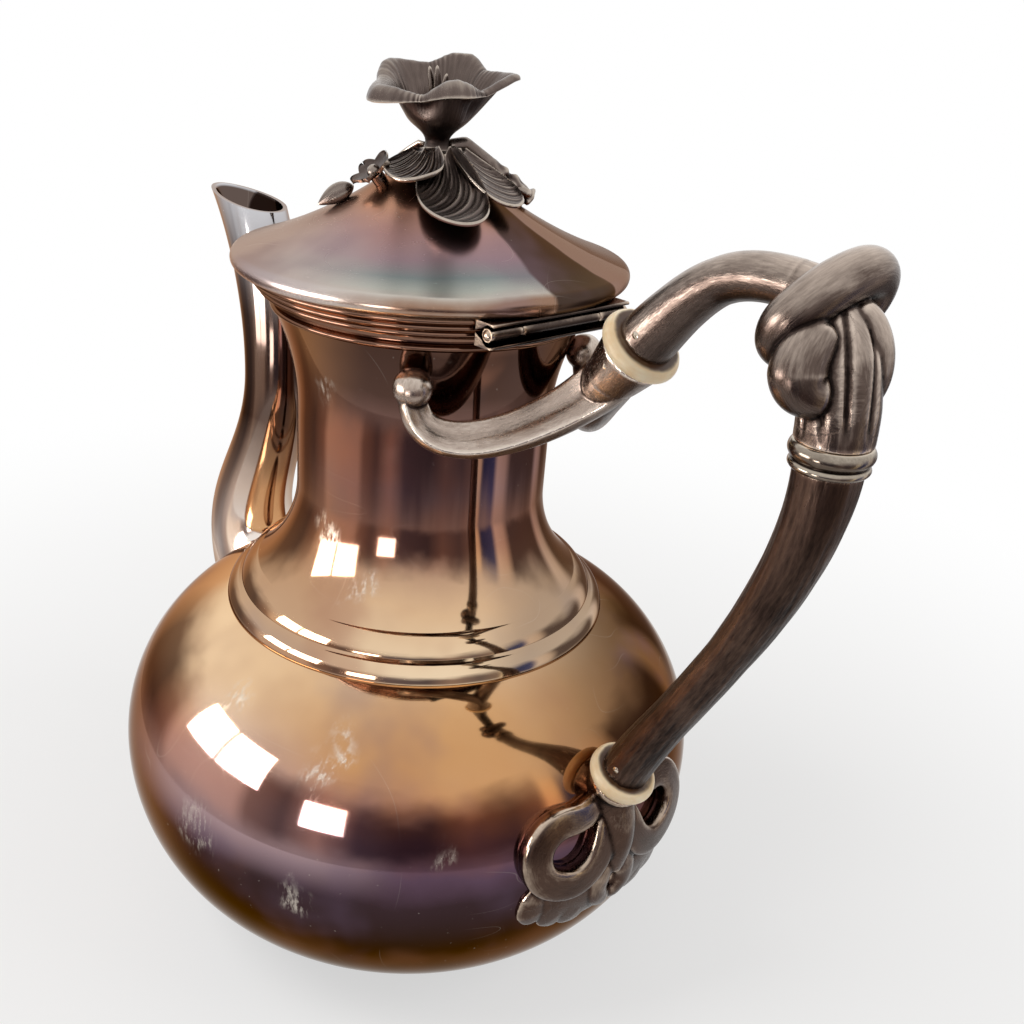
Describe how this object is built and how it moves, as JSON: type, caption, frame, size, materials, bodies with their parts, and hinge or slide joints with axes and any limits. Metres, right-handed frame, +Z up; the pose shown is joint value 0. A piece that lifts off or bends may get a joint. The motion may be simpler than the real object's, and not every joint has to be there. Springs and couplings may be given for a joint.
{
  "type": "coffee pot",
  "caption": "Bellied silver-plated coffee pot with a waisted neck, hinged lid with a cast flower finial, swan-neck spout and a knotted handle on insulating rings.",
  "frame": {"origin": "centre of the foot, on the pot's axis, at the height of the table", "axes": "+Z up, +X towards the handle, -X towards the spout, Y across"},
  "size_m": [0.2281, 0.159, 0.2336],
  "materials": {
    "silver_plate": "polished silver plate with a warm iridescent tarnish",
    "silver_trim": "polished, brown tarnish in the recesses",
    "cast_silver": "cast and chased, satin grey-brown",
    "dark_silver": "cast and chased, darkly oxidised",
    "ivory_ring": "turned, bone-coloured"
  },
  "bodies": {
    "pot": {"belly_lower": "silver_plate", "belly_upper": "silver_plate", "base_disc": "silver_plate", "foot_wire": "silver_plate", "neck_shell": "silver_plate", "mouth_moulding": "silver_plate", "spout": "silver_plate", "hinge_body_leaf": "silver_trim", "hinge_pin": "silver_trim", "handle_collar": "silver_trim", "handle_knot": "cast_silver", "handle_grip": "cast_silver", "upper_bracket": "cast_silver", "upper_ring_pins": "cast_silver", "lower_ring_pin": "cast_silver", "lower_bracket": "dark_silver", "upper_insulator": "ivory_ring", "lower_insulator": "ivory_ring"},
    "lid": {"lid_rim_wire": "silver_plate", "lid_dome": "silver_plate", "lid_bezel": "silver_plate", "hinge_lid_leaf": "silver_trim", "finial_hub": "dark_silver", "finial_nut": "dark_silver", "finial_stud": "dark_silver", "finial_flower": "dark_silver", "finial_pistil": "dark_silver", "finial_leaf_front": "dark_silver", "finial_leaf_right": "dark_silver", "finial_leaf_left": "dark_silver", "finial_leaf_back": "dark_silver", "finial_blossom": "dark_silver", "finial_bud": "dark_silver", "finial_twig": "dark_silver"}
  },
  "joints": [
    {"name": "lid_hinge", "type": "hinge", "parent": "pot", "child": "lid", "pos_m": [0.045, 0, 0.1812], "axis": [0, 1, 0], "range_deg": [0, 85]}
  ]
}
